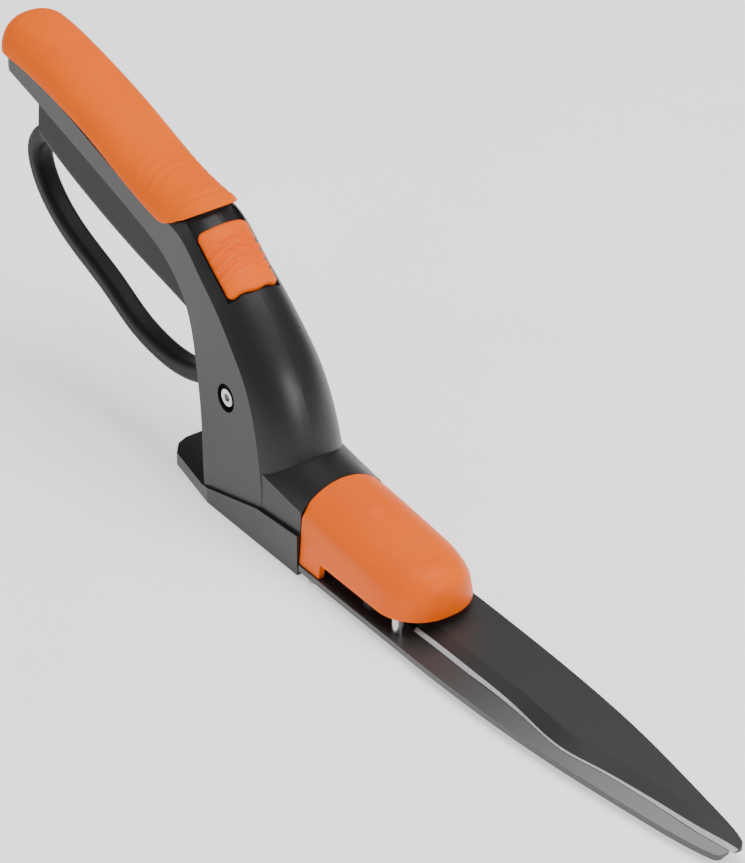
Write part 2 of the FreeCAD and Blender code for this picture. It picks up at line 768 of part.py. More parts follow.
def cover_screws():
    screws = []
    for x, y in cover_screw_points():
        shank = rod_z(x, y, small_screw_radius, lower_z, 12.0)
        head = rod_z(x, y, 2.2, lower_z - 1.5, lower_z)
        screws.append(shank.fuse(head))
    return Part.makeCompound(screws)


def cover_block(cut):
    """The cover's outer form, or its hollow when cut is the wall."""
    rows = [
        (seam_x + seam_gap - cut, cover_half, shoulder_side_z, shoulder_rise),
        (60.0, cover_half, 21.5, 7.1),
        (80.0, cover_half - 0.2, 19.7, 6.9),
        (cover_front_x + 4, cover_half - 1.4, 17.4, 5.9),
    ]
    wires = []
    for x, half, side_z, rise in rows:
        face = arch_face(x, half - cut, side_z - cut, rise, cover_bottom_z - cut)
        wires.append(face.Wires[0])
    loft = Part.makeLoft(wires, True, False)
    front = cover_front_x - cut
    half = cover_half - cut
    radius = cover_nose_radius - cut
    corner = radius * (1 - math.sqrt(0.5))
    rear = seam_x - 10.0
    z0 = cover_bottom_z - 8.0
    right_start = Vec(front - radius, -half, z0)
    right_end = Vec(front, -half + radius, z0)
    left_start = Vec(front, half - radius, z0)
    left_end = Vec(front - radius, half, z0)
    nose_right = Part.Arc(right_start, Vec(front - corner, -half + corner, z0), right_end).toShape()
    nose_left = Part.Arc(left_start, Vec(front - corner, half - corner, z0), left_end).toShape()
    rear_left = Vec(rear, half, z0)
    rear_right = Vec(rear, -half, z0)
    edges = [
        Part.makeLine(rear_left, rear_right), Part.makeLine(rear_right, right_start), nose_right,
        Part.makeLine(right_end, left_start), nose_left, Part.makeLine(left_end, rear_left),
    ]
    plan = Part.Face(Part.Wire(edges)).extrude(Vec(0, 0, 60))
    return loft.common(plan)


def front_top_edges(solid):
    """The edges where the cover's roof meets its nose."""
    picked = []
    for edge in solid.Edges:
        middle = edge.CenterOfMass
        if middle.z > cover_bottom_z + 6 and middle.x > cover_front_x - cover_nose_radius - 1:
            picked.append(edge)
    return picked


def blade_cover():
    outer = cover_block(0.0)
    outer = outer.makeFillet(cover_edge_radius, front_top_edges(outer))
    foot_low = lower_z + blade_thick + foot_gap
    shell = outer.cut(cover_block(cover_wall))
    for side in (-1, 1):
        y0, y1 = sorted((side * cover_half, side * (cover_half - foot_width)))
        shell = shell.fuse(box(seam_x + seam_gap, cover_foot_x, y0, y1, foot_low, cover_bottom_z + 4.0))
    for x, y in cover_screw_points():
        shell = shell.cut(rod_z(x, y, small_screw_radius + screw_fit, 0, 12.2))
    return shell


def band_face(points, thick, y):
    """A strip of even thickness along a smooth side-view line."""
    line = [Vec(x, y, z) for x, z in points]
    outer = []
    inner = []
    for index, point in enumerate(line):
        before = line[max(index - 1, 0)]
        after = line[min(index + 1, len(line) - 1)]
        along = (after - before).normalize()
        normal = Vec(-along.z, 0, along.x)
        outer.append(point + normal * (thick / 2))
        inner.append(point - normal * (thick / 2))
    edges = [
        curve(outer), Part.makeLine(outer[-1], inner[-1]), curve(inner), Part.makeLine(inner[0], outer[0]),
    ]
    return Part.Face(Part.Wire(Part.__sortEdges__(edges)))


def guard_line():
    """Middle line of the finger guard, from the rear of the bar round to the hub."""
    return [
        (handle_x(0.76), 77.5), (handle_x(0.865), 75.6), (handle_x(0.918), 68.0), (handle_x(0.895), 59.5),
        (handle_x(0.84), 53.2), (handle_x(0.735), 46.4), (handle_x(0.60), 41.2), (handle_x(0.45), 36.2),
        (handle_x(0.29), 29.7), (handle_x(0.15), 26.8), (handle_x(0.03), 26.4), (-38.0, 28.2),
        (-28.0, 32.0), (-16.0, 37.0), (-6.0, 39.5),
    ]


def long_edges(solid, low, limit):
    """Edges that run the length of a lever piece along one of its faces."""
    picked = []
    for edge in solid.Edges:
        box_y = edge.BoundBox.YLength
        if box_y < 0.01 and edge.Length > limit and edge.CenterOfMass.z > low:
            picked.append(edge)
    return picked


def finger_bar():
    """Deep bar under the handle, rounded below, that the fingers pull."""
    top_start = Vec(handle_x(0.80), -lever_half, 91.4)
    top_end = Vec(-20.0, -lever_half, 69.6)
    low = [
        Vec(handle_x(0.66), -lever_half, 71.6), Vec(handle_x(0.40), -lever_half, 64.2),
        Vec(handle_x(0.15), -lever_half, 58.6), Vec(-40.0, -lever_half, 54.6),
        Vec(-18.0, -lever_half, 48.0),
    ]
    rear_low = Vec(handle_x(0.815), -lever_half, 77.0)
    edges = [
        Part.makeLine(top_start, top_end), Part.makeLine(top_end, low[-1]), curve(list(reversed(low))),
        Part.makeLine(low[0], rear_low), Part.makeLine(rear_low, top_start),
    ]
    solid = Part.Face(Part.Wire(edges)).extrude(Vec(0, 2 * lever_half, 0))
    rounded = []
    for edge in solid.Edges:
        if edge.BoundBox.YLength < 0.01 and edge.CenterOfMass.z < 66 and edge.Length > 40:
            rounded.append(edge)
    return solid.makeFillet(bar_round, rounded)


def finger_guard():
    band = band_face(guard_line(), guard_thick, -guard_half).extrude(Vec(0, 2 * guard_half, 0))
    return band.makeFillet(guard_round, long_edges(band, 0, 60))


def squeeze_lever():
    web = side_prism(
        [(-24.0, 70.6), (-10.0, 70.6), (-5.0, 66.0), (4.0, 50.0), (4.0, 40.0), (-14.0, 33.5),
         (-24.0, 36.5), (-21.0, 50.0)],
        -lever_half, lever_half,
    )
    hub = rod_y(0, pivot_z, hub_radius, -lever_half, lever_half)
    arm = side_prism(
        [(-6.0, pivot_z), (6.0, pivot_z), (arm_half, pin_z), (-arm_half, pin_z)], -lever_half, lever_half)
    arm_end = rod_y(0, pin_z, arm_half, -lever_half, lever_half)
    lever = finger_bar().fuse([finger_guard(), web, hub, arm, arm_end])
    lever = lever.fuse([rod_y(peg_x, peg_z, peg_radius, lever_half - 1, 9.2), spring_pad()])
    lever = lever.cut(rod_y(0, pivot_z, bush_radius + fit_gap, -20, 20))
    return lever.cut(rod_y(0, pin_z, drive_pin_radius, -20, 20))


def spring_pad():
    """Ledge on the lever's left flank that the spring's free leg presses on."""
    top = pivot_z + spring_radius - spring_wire / 2 - 0.05
    return box(-17.0, -12.5, lever_half - 0.5, lever_half + lever_gap - 0.2, top - 2.6, top)


def lever_bush():
    tube = rod_y(0, pivot_z, bush_radius, -pivot_boss_y + 0.05, pivot_boss_y - 0.05)
    return tube.cut(rod_y(0, pivot_z, screw_radius + fit_gap, -20, 20))


def lever_pivot_screw():
    head_y = -pivot_skin_y + 0.4
    head = rod_y(0, pivot_z, pivot_head_radius, head_y, head_y + pivot_head_height)
    shank = rod_y(0, pivot_z, screw_radius, head_y + pivot_head_height, pivot_skin_y - 0.2)
    socket = hexagon(Vec(0, head_y - 0.5, pivot_z), Vec(0, 1, 0), 2.6, 1.9)
    return head.fuse(shank).cut(socket)


def lever_pivot_nut():
    foot = Vec(0, pivot_skin_y - nut_height + 0.3, pivot_z)
    nut = hexagon(foot, Vec(0, 1, 0), nut_flats, nut_height - 0.6)
    return nut.cut(rod_y(0, pivot_z, screw_radius + screw_fit, -20, 30))


def return_spring():
    """Torsion spring round the bush, left of the lever, with two straight legs."""
    pitch = spring_wire + 0.1
    start_y = lever_half + 0.2 + spring_wire / 2
    helix = Part.makeHelix(pitch, pitch * spring_turns, spring_radius)
    helix.rotate(Vec(0, 0, 0), Vec(1, 0, 0), -90)
    helix.rotate(Vec(0, 0, 0), Vec(0, 1, 0), -90)
    helix.translate(Vec(0, start_y, pivot_z))
    coil_start = helix.Edges[0].valueAt(helix.Edges[0].FirstParameter)
    coil_end = helix.Edges[-1].valueAt(helix.Edges[-1].LastParameter)
    free_end = coil_start - Vec(free_leg, 0, 0)
    lines = [Part.makeLine(free_end, coil_start)] + helix.Edges
    lines.append(Part.makeLine(coil_end, coil_end - Vec(fixed_leg, 0, 0)))
    profile = Part.Wire([Part.makeCircle(spring_wire / 2, free_end, Vec(1, 0, 0))])
    return Part.Wire(lines).makePipeShell([profile], True, True)


def lock_button():
    """Ribbed saddle button with a stem that goes through the roof."""
    shell = saddle(button_bed_radius + button_gap, button_bed_radius + button_thick, button_half_angle,
                   -button_length / 2, button_length)
    stem = button_block(-stem_half_y, stem_half_y, -6.7, button_thick - 1.0, -stem_half_x, 2 * stem_half_x)
    return shell.fuse(stem)


def lock_latch():
    """Latch under the roof: a block on the button's stem and a hook beside the lever."""
    block = button_block(-4.0, 4.0, latch_low, -crown_wall - 0.2, -latch_half, 2 * latch_half)
    wing = button_block(3.0, hook_y1, latch_low, latch_arm_low, -latch_half, 2 * latch_half)
    rail = button_block(hook_y0, hook_y1, latch_low, latch_arm_low, latch_half - 0.1, 15.0)
    side = stem_half_y + fit_gap
    end = stem_half_x + fit_gap
    stem_hole = button_block(-side, side, -6.8, 2.0, -end, 2 * end)
    arm_line = [(-5.7, hook_foot_z), (-3.1, hook_foot_z), (-3.1, 64.0), (-5.7, 66.0)]
    arm = side_prism(arm_line, hook_y0, hook_y1)
    foot = box(-11.4, -3.1, hook_y0, hook_y1, hook_foot_z, hook_foot_z + 2.0)
    tip = box(-11.4, -9.4, hook_y0, hook_y1, hook_foot_z, hook_foot_z + 4.6)
    return block.fuse([wing, rail, arm, foot, tip]).cut(stem_hole)


def lock_spring_clip():
    """Leaf spring on the latch's right flank that holds the slide at either end."""
    return button_block(-4.6, -4.05, -7.0, -4.2, -9.0, 18.0)


def main():
    right, left = split_halves(housing_whole())
    save("housing_right", right)
    save("housing_left", left)
    save("grip_cover", grip_cover())
    save("sole_plate", sole_plate())
    save("housing_screws", housing_screws())
    save("sole_screws", sole_screws())
    save("heel_screws", heel_screws())
    save("lower_blade", lower_blade())
    save("upper_blade", upper_blade())
    save("carrier_plate", carrier_plate())
    save("guide_pins", guide_pins())
    save("drive_slider", drive_slider())
    save("link_pin", link_pin())
    save("drive_stud", drive_stud())
    save("blade_pivot_bolt", blade_pivot_bolt())
    save("friction_washer", ring(8.0, blade_bolt_radius + 0.1, upper_top_z, upper_top_z + 0.5))
    save("wave_washer", ring(6.6, blade_bolt_radius + 0.1, upper_top_z + 0.5, upper_top_z + 1.2))
    save("pivot_lock_nut", pivot_lock_nut())
    save("stop_pin", stop_pin())
    save("blade_cover", blade_cover())
    save("cover_screws", cover_screws())
    save("squeeze_lever", squeeze_lever())
    save("lever_bush", lever_bush())
    save("lever_pivot_screw", lever_pivot_screw())
    save("lever_pivot_nut", lever_pivot_nut())
    save("lock_button", lock_button())
    save("lock_latch", lock_latch())
    save("lock_spring_clip", lock_spring_clip())
    save("return_spring", return_spring())


main()
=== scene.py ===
import math

import bmesh
import bpy
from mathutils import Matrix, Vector


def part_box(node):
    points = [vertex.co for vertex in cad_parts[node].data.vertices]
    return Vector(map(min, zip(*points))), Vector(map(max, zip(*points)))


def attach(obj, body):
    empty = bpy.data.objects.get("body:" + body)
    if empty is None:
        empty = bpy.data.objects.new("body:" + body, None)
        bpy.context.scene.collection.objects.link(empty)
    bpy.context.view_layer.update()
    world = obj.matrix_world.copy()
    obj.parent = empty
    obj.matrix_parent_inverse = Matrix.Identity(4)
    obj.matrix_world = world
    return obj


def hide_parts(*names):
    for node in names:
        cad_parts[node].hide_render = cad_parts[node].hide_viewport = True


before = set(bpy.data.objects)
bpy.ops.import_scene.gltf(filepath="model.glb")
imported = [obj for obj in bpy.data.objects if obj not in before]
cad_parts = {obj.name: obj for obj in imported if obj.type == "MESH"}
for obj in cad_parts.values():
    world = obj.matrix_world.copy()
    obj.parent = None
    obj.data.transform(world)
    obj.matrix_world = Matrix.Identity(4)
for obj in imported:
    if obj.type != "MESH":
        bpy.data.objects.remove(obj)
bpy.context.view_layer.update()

# Grass shears. Everything is in metres in the part's own frame: +X to the tips, +Y left, +Z up.
mm = 0.001
print("frame loaded,", len(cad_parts), "nodes")


def tone(hexText):
    # sRGB hex to linear light
    parts = [int(hexText[i:i + 2], 16) / 255 for i in (1, 3, 5)]
    linear = [p / 12.92 if p <= 0.04045 else ((p + 0.055) / 1.055) ** 2.4 for p in parts]
    return linear + [1.0]


def addNode(tree, kind, settings=None, links=None):
    # settings name an attribute or an input socket; links give (node, its output)
    made = tree.nodes.new(kind)
    for key, value in (settings or {}).items():
        if key == "stops":
            ramp = made.color_ramp
            for place, (position, colour) in enumerate(value):
                stop = ramp.elements[place] if place < 2 else ramp.elements.new(position)
                stop.position = position
                stop.color = colour
        elif isinstance(key, str) and hasattr(made, key):
            setattr(made, key, value)
        else:
            made.inputs[key].default_value = value
    for key, (source, output) in (links or {}).items():
        tree.links.new(source.outputs[output], made.inputs[key])
    return made


def startMaterial(name, settings):
    material = bpy.data.materials.new(name)
    material.use_nodes = True
    tree = material.node_tree
    tree.nodes.clear()
    shader = addNode(tree, "ShaderNodeBsdfPrincipled", settings)
    addNode(tree, "ShaderNodeOutputMaterial", None, {"Surface": (shader, "BSDF")})
    place = addNode(tree, "ShaderNodeTexCoord")
    return material, tree, shader, place


def smooth(low, high, value):
    share = min(max((value - low) / (high - low), 0.0), 1.0)
    return share * share * (3 - 2 * share)


def along(points, x):
    # a smooth line through a few (x, value) points
    if x <= points[0][0]:
        return points[0][1]
    for place in range(len(points) - 1):
        x0, v0 = points[place]
        x1, v1 = points[place + 1]
        if x <= x1:
            before = points[max(place - 1, 0)]
            after = points[min(place + 2, len(points) - 1)]
            slope0 = (v1 - before[1]) / (x1 - before[0])
            slope1 = (after[1] - v0) / (after[0] - x0)
            t = (x - x0) / (x1 - x0)
            step = x1 - x0
            return ((2 * t ** 3 - 3 * t ** 2 + 1) * v0 + (t ** 3 - 2 * t ** 2 + t) * step * slope0
                    + (3 * t ** 2 - 2 * t ** 3) * v1 + (t ** 3 - t ** 2) * step * slope1)
    return points[-1][1]


def finishPiece(name, bm, material, body, replaced, wall=None, edge=None):
    # scales the mesh from millimetres, gives it a wall and softened edges, and hangs it on its body
    bmesh.ops.scale(bm, vec=(mm, mm, mm), verts=bm.verts)
    mesh = bpy.data.meshes.new(name)
    bm.to_mesh(mesh)
    bm.free()
    for face in mesh.polygons:
        face.use_smooth = True
    piece = bpy.data.objects.new(name, mesh)
    bpy.context.scene.collection.objects.link(piece)
    mesh.materials.append(material)
    if wall:
        shell = piece.modifiers.new("wall", "SOLIDIFY")
        shell.thickness = wall * mm
        shell.offset = -1
        shell.use_even_offset = True
    if edge:
        soft = piece.modifiers.new("softEdges", "BEVEL")
        soft.width = edge * mm
        soft.segments = 3
        soft.limit_method = "ANGLE"
        soft.angle_limit = math.radians(38)
        soft.harden_normals = False
    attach(piece, body)
    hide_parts(replaced)
    return piece


def sliceUp(bm, axis, places):
    # cuts the whole mesh across an axis at each place
    normal = Vector((0, 0, 0))
    normal[axis] = 1
    for place in places:
        point = Vector((0, 0, 0))
        point[axis] = place
        geometry = list(bm.verts) + list(bm.edges) + list(bm.faces)
        bmesh.ops.bisect_plane(bm, geom=geometry, dist=1e-5, plane_co=point, plane_no=normal)


def evenly(low, high, step):
    count = max(int(round((high - low) / step)), 1)
    return [low + (high - low) * i / count for i in range(count + 1)]


def mouldedPlastic(name, lightHex, darkHex, roughness, grainMm, grainDepth, gloss=0.5):
    # injection moulding: the spark-eroded tool leaves a fine even grain, the flow of the melt a faint cloud
    material, tree, shader, place = startMaterial(name, {
        "IOR": 1.50, "Roughness": roughness, "Specular IOR Level": gloss})
    cloud = addNode(tree, "ShaderNodeTexNoise", {"Scale": 1 / (22 * mm), "Detail": 3.0, "Roughness": 0.5},
                    {"Vector": (place, "Object")})
    colour = addNode(tree, "ShaderNodeValToRGB", {
        "stops": [(0.30, tone(darkHex)), (0.72, tone(lightHex))]}, {"Fac": (cloud, "Fac")})
    tree.links.new(colour.outputs["Color"], shader.inputs["Base Color"])
    # the real grain is 0.1 to 0.2 mm; drawn a little coarser so that it shows
    grain = addNode(tree, "ShaderNodeTexNoise", {
        "Scale": 1 / (grainMm * mm), "Detail": 2.0, "Roughness": 0.6}, {"Vector": (place, "Object")})
    worn = addNode(tree, "ShaderNodeMapRange", {
        "From Min": 0.3, "From Max": 0.7, "To Min": roughness - 0.06, "To Max": roughness + 0.07},
        {"Value": (grain, "Fac")})
    tree.links.new(worn.outputs["Result"], shader.inputs["Roughness"])
    bump = addNode(tree, "ShaderNodeBump", {"Strength": 0.5, "Distance": grainDepth * mm},
                   {"Height": (grain, "Fac")})
    tree.links.new(bump.outputs["Normal"], shader.inputs["Normal"])
    return material


def coatedBladeSteel(name, coatHex, farHex, bandShadingHex):
    # hardened strip steel under a thin dark non-stick coat
    # grinding laid the bevel bare and left fine scratches across it
    material, tree, shader, place = startMaterial(name, None)
    spot = addNode(tree, "ShaderNodeSeparateXYZ", None, {"Vector": (place, "Object")})
    lengthwise = addNode(tree, "ShaderNodeMapRange", {
        "From Min": 95 * mm, "From Max": 232 * mm, "interpolation_type": "SMOOTHSTEP"},
        {"Value": (spot, "X")})
    coat = addNode(tree, "ShaderNodeMix", {"data_type": "RGBA"}, {0: (lengthwise, "Result")})
    coat.inputs[6].default_value = tone(coatHex)
    coat.inputs[7].default_value = tone(farHex)
    fleck = addNode(tree, "ShaderNodeTexNoise", {"Scale": 1 / (0.5 * mm), "Detail": 3.0, "Roughness": 0.7},
                    {"Vector": (place, "Object")})
    flecked = addNode(tree, "ShaderNodeMix", {"data_type": "RGBA", "blend_type": "OVERLAY"}, None)
    flecked.inputs[0].default_value = 0.18
    tree.links.new(coat.outputs[2], flecked.inputs[6])
    tree.links.new(fleck.outputs["Color"], flecked.inputs[7])
    # how far a face leans tells coat, ground band and bare bevel apart; the band's own colour is painted
    # shading, darker on the upper blade and lighter on the lower one
    facing = addNode(tree, "ShaderNodeSeparateXYZ", None, {"Vector": (place, "Normal")})
    steep = addNode(tree, "ShaderNodeMath", {"operation": "ABSOLUTE"}, {0: (facing, "Z")})
    # painted shade and painted light: the ground band's faces get a colour of their own in place of the
    # light falling on their lean
    bandShadingMask = addNode(tree, "ShaderNodeMapRange", {"From Min": 0.995, "From Max": 0.985},
                   {"Value": (steep, "Value")})
    bandShadedCoat = addNode(tree, "ShaderNodeMix", {"data_type": "RGBA"}, {0: (bandShadingMask, "Result")})
    tree.links.new(flecked.outputs[2], bandShadedCoat.inputs[6])
    bandShadedCoat.inputs[7].default_value = tone(bandShadingHex)
    leanLow = addNode(tree, "ShaderNodeMath", {"operation": "LESS_THAN", 1: 0.85}, {0: (steep, "Value")})
    leanHigh = addNode(tree, "ShaderNodeMath", {"operation": "GREATER_THAN", 1: 0.25}, {0: (steep, "Value")})
    bare = addNode(tree, "ShaderNodeMath", {"operation": "MULTIPLY"},
                   {0: (leanLow, "Value"), 1: (leanHigh, "Value")})
    stretched = addNode(tree, "ShaderNodeMapping", {"Scale": (1 / (0.25 * mm), 1 / (4 * mm), 1 / (4 * mm))},
                        {"Vector": (place, "Object")})
    scratch = addNode(tree, "ShaderNodeTexNoise", {"Scale": 1.0, "Detail": 2.0},
                      {"Vector": (stretched, "Vector")})
    steel = addNode(tree, "ShaderNodeValToRGB", {
        "stops": [(0.3, tone("#B4B4B5")), (0.7, tone("#DADADA"))]}, {"Fac": (scratch, "Fac")})
    base = addNode(tree, "ShaderNodeMix", {"data_type": "RGBA"}, {0: (bare, "Value")})
    tree.links.new(bandShadedCoat.outputs[2], base.inputs[6])
    tree.links.new(steel.outputs["Color"], base.inputs[7])
    tree.links.new(base.outputs[2], shader.inputs["Base Color"])
    shine = addNode(tree, "ShaderNodeMath", {"operation": "MULTIPLY", 1: 0.45}, {0: (bare, "Value")})
    tree.links.new(shine.outputs["Value"], shader.inputs["Metallic"])
    rough = addNode(tree, "ShaderNodeMapRange", {"To Min": 0.46, "To Max": 0.28}, {"Value": (bare, "Value")})
    tree.links.new(rough.outputs["Result"], shader.inputs["Roughness"])
    bump = addNode(tree, "ShaderNodeBump", {"Strength": 0.25, "Distance": 0.02 * mm},
                   {"Height": (fleck, "Fac")})
    tree.links.new(bump.outputs["Normal"], shader.inputs["Normal"])
    return material


def turnedSteel(name, lightHex, darkHex, roughness, ringMm, metal=1.0):
    # bar stock turned on a lathe: fine rings from the tool, a bright finish with a few dull patches
    material, tree, shader, place = startMaterial(name, {"Metallic": metal, "Roughness": roughness})
    rings = addNode(tree, "ShaderNodeTexWave", {
        "wave_type": "RINGS", "Scale": 1 / (ringMm * mm * 6.3), "Distortion": 0.6, "Detail": 1.0},
        {"Vector": (place, "Object")})
    patches = addNode(tree, "ShaderNodeTexNoise", {"Scale": 1 / (2.5 * mm), "Detail": 3.0},
                      {"Vector": (place, "Object")})
    colour = addNode(tree, "ShaderNodeValToRGB", {
        "stops": [(0.3, tone(darkHex)), (0.7, tone(lightHex))]}, {"Fac": (patches, "Fac")})
    tree.links.new(colour.outputs["Color"], shader.inputs["Base Color"])
    rough = addNode(tree, "ShaderNodeMapRange", {"To Min": roughness - 0.05, "To Max": roughness + 0.10},
                    {"Value": (patches, "Fac")})
    tree.links.new(rough.outputs["Result"], shader.inputs["Roughness"])
    bump = addNode(tree, "ShaderNodeBump", {"Strength": 0.15, "Distance": 0.02 * mm},
                   {"Height": (rings, "Fac")})
    tree.links.new(bump.outputs["Normal"], shader.inputs["Normal"])
    return material


housingAbs = mouldedPlastic("spark_grained_dark_ABS", "#1F1F20", "#1B1B1C", 0.36, 0.28, 0.05, 0.40)
leverNylon = mouldedPlastic("glass_filled_nylon", "#161617", "#131314", 0.50, 0.35, 0.05, 0.20)
orangeRubber = mouldedPlastic("soft_orange_elastomer", "#FF6E00", "#FA6600", 0.58, 0.40, 0.05, 0.06)
orangeAbs = mouldedPlastic("satin_orange_ABS", "#FF6C00", "#FA6400", 0.42, 0.22, 0.02, 0.12)
soleAbs = mouldedPlastic("plain_black_ABS", "#1C1C1D", "#18181A", 0.50, 0.30, 0.04, 0.25)
washerNylon = mouldedPlastic("natural_nylon", "#D8D5C8", "#CDC9BA", 0.45, 0.30, 0.02)
# the last colour of each blade is the painted shading of its ground band: painted shade on the upper,
# painted light on the lower
upperSteel = coatedBladeSteel("dark_coated_blade_steel", "#282829", "#2B2B2C", "#1D1D1E")
lowerSteel = coatedBladeSteel("grey_coated_blade_steel", "#2C2C2D", "#848485", "#4A4A4B")
brightSteel = turnedSteel("bright_turned_steel", "#D8D8D8", "#B4B4B5", 0.24, 0.15)
zincSteel = turnedSteel("zinc_plated_steel", "#B9BBBD", "#96989A", 0.38, 0.25)
springSteel = turnedSteel("drawn_spring_wire", "#8E8E90", "#6C6C6E", 0.34, 0.20)
turnedBrass = turnedSteel("turned_brass", "#D9B25E", "#B98F3E", 0.30, 0.15)
print("materials made")

dressing = {
    "housing_left": housingAbs, "housing_right": housingAbs, "squeeze_lever": leverNylon,
    "sole_plate": soleAbs, "lock_latch": soleAbs, "upper_blade": upperSteel, "lower_blade": lowerSteel,
    "carrier_plate": zincSteel, "drive_slider": zincSteel, "pivot_lock_nut": zincSteel,
    "lever_pivot_nut": zincSteel, "housing_screws": zincSteel, "sole_screws": zincSteel,
    "heel_screws": zincSteel, "cover_screws": zincSteel, "blade_pivot_bolt": brightSteel,
    "stop_pin": brightSteel, "lever_pivot_screw": brightSteel, "link_pin": brightSteel,
    "drive_stud": brightSteel, "guide_pins": brightSteel, "return_spring": springSteel,
    "lock_spring_clip": springSteel, "wave_washer": springSteel, "lever_bush": turnedBrass,
    "friction_washer": washerNylon,
    "grip_cover": orangeRubber, "blade_cover": orangeAbs, "lock_button": orangeAbs,
}
for nodeName, finish in dressing.items():
    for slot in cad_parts[nodeName].material_slots:
        slot.material = finish
print("CAD nodes dressed")


def makeBladeCover():
    low, high = [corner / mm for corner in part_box("blade_cover")]
    size = {"noseRadius": 15.0, "rimZ": 10.0, "footEndX": 52.6, "footStep": 0.7, "flankLean": 1.1,
            "flankTopZ": 22.6, "flankFall": 0.055, "flankBow": 0.00055, "roofRise": 7.4, "roofFall": 0.022,
            "sideRound": 2.2, "noseRound": 5.4, "noseRoundX": (78.0, 90.0), "wall": 1.9,
            "dishX": (60.0, 90.5), "dishY": 3.6, "dishDepth": 0.55}
    half = high.y
    bm = bmesh.new()
    bmesh.ops.create_cube(bm, size=1.0)
    bmesh.ops.scale(bm, vec=(high.x - low.x, 2 * half, high.z - size["rimZ"]), verts=bm.verts)
    bmesh.ops.translate(bm, vec=((low.x + high.x) / 2, 0, (high.z + size["rimZ"]) / 2), verts=bm.verts)
    noseEdges = [e for e in bm.edges if all(v.co.x > high.x - 0.1 for v in e.verts)
                 and abs(e.verts[0].co.z - e.verts[1].co.z) > 1]
    bmesh.ops.bevel(bm, geom=noseEdges, offset=size["noseRadius"], offset_type="OFFSET", affect="EDGES",
                    segments=16, profile=0.5, material=-1)
    for ring in (0.2, 0.35, 0.5, 0.6, 0.8, 1.0, 1.1, 1.2):
        top = max(bm.faces, key=lambda f: f.normal.z * f.calc_area())
        bmesh.ops.inset_region(bm, faces=[top], thickness=ring, depth=0.0, use_even_offset=True)
    footSlices = [size["footEndX"], size["footEndX"] + size["footStep"]]
    sliceUp(bm, 0, evenly(low.x + 1.5, high.x - 1.0, 1.4) + footSlices)
    sliceUp(bm, 1, evenly(-half + 3.0, half - 3.0, 1.0))
    gone = [f for f in bm.faces if f.normal.z < -0.9 or f.normal.x < -0.9]
    bmesh.ops.delete(bm, geom=gone, context="FACES")
    noseMiddleX = high.x - size["noseRadius"]
    noseMiddleY = half - size["noseRadius"]
    for vert in bm.verts:
        x, y, z = vert.co
        run = x - low.x
        side = half - abs(y)
        depth = min(side, high.x - x)
        if x > noseMiddleX and abs(y) > noseMiddleY:
            depth = size["noseRadius"] - math.hypot(x - noseMiddleX, abs(y) - noseMiddleY)
        depth = max(depth, 0.0)
        flankZ = size["flankTopZ"] - size["flankFall"] * run - size["flankBow"] * run * run
        rise = size["roofRise"] - size["roofFall"] * run
        lean = size["flankLean"]
        if z > size["rimZ"] + 0.1:
            topHalf = half - lean
            radius = (topHalf ** 2 + rise ** 2) / (2 * rise)
            across = min(abs(y) * topHalf / half, topHalf)
            roofZ = flankZ + rise - radius + math.sqrt(radius ** 2 - across ** 2)
            towardNose = smooth(*size["noseRoundX"], x)
            rounding = size["sideRound"] + (size["noseRound"] - size["sideRound"]) * towardNose
            if depth < rounding:
                roofZ -= rounding - math.sqrt(rounding ** 2 - (rounding - depth) ** 2)
            fade = smooth(0.0, 1.2, size["dishY"] - abs(y))
            fade *= smooth(0.0, 3.0, x - size["dishX"][0]) * smooth(0.0, 3.0, size["dishX"][1] - x)
            vert.co.z = roofZ - size["dishDepth"] * fade
            vert.co.y = y * topHalf / half
        elif x < size["footEndX"] + 0.05:
            vert.co.z = low.z
    bmesh.ops.recalc_face_normals(bm, faces=bm.faces)
    return finishPiece("bladeCover", bm, orangeAbs, "root", "blade_cover",
                       wall=size["wall"], edge=0.35)


makeBladeCover()
print("blade cover made")


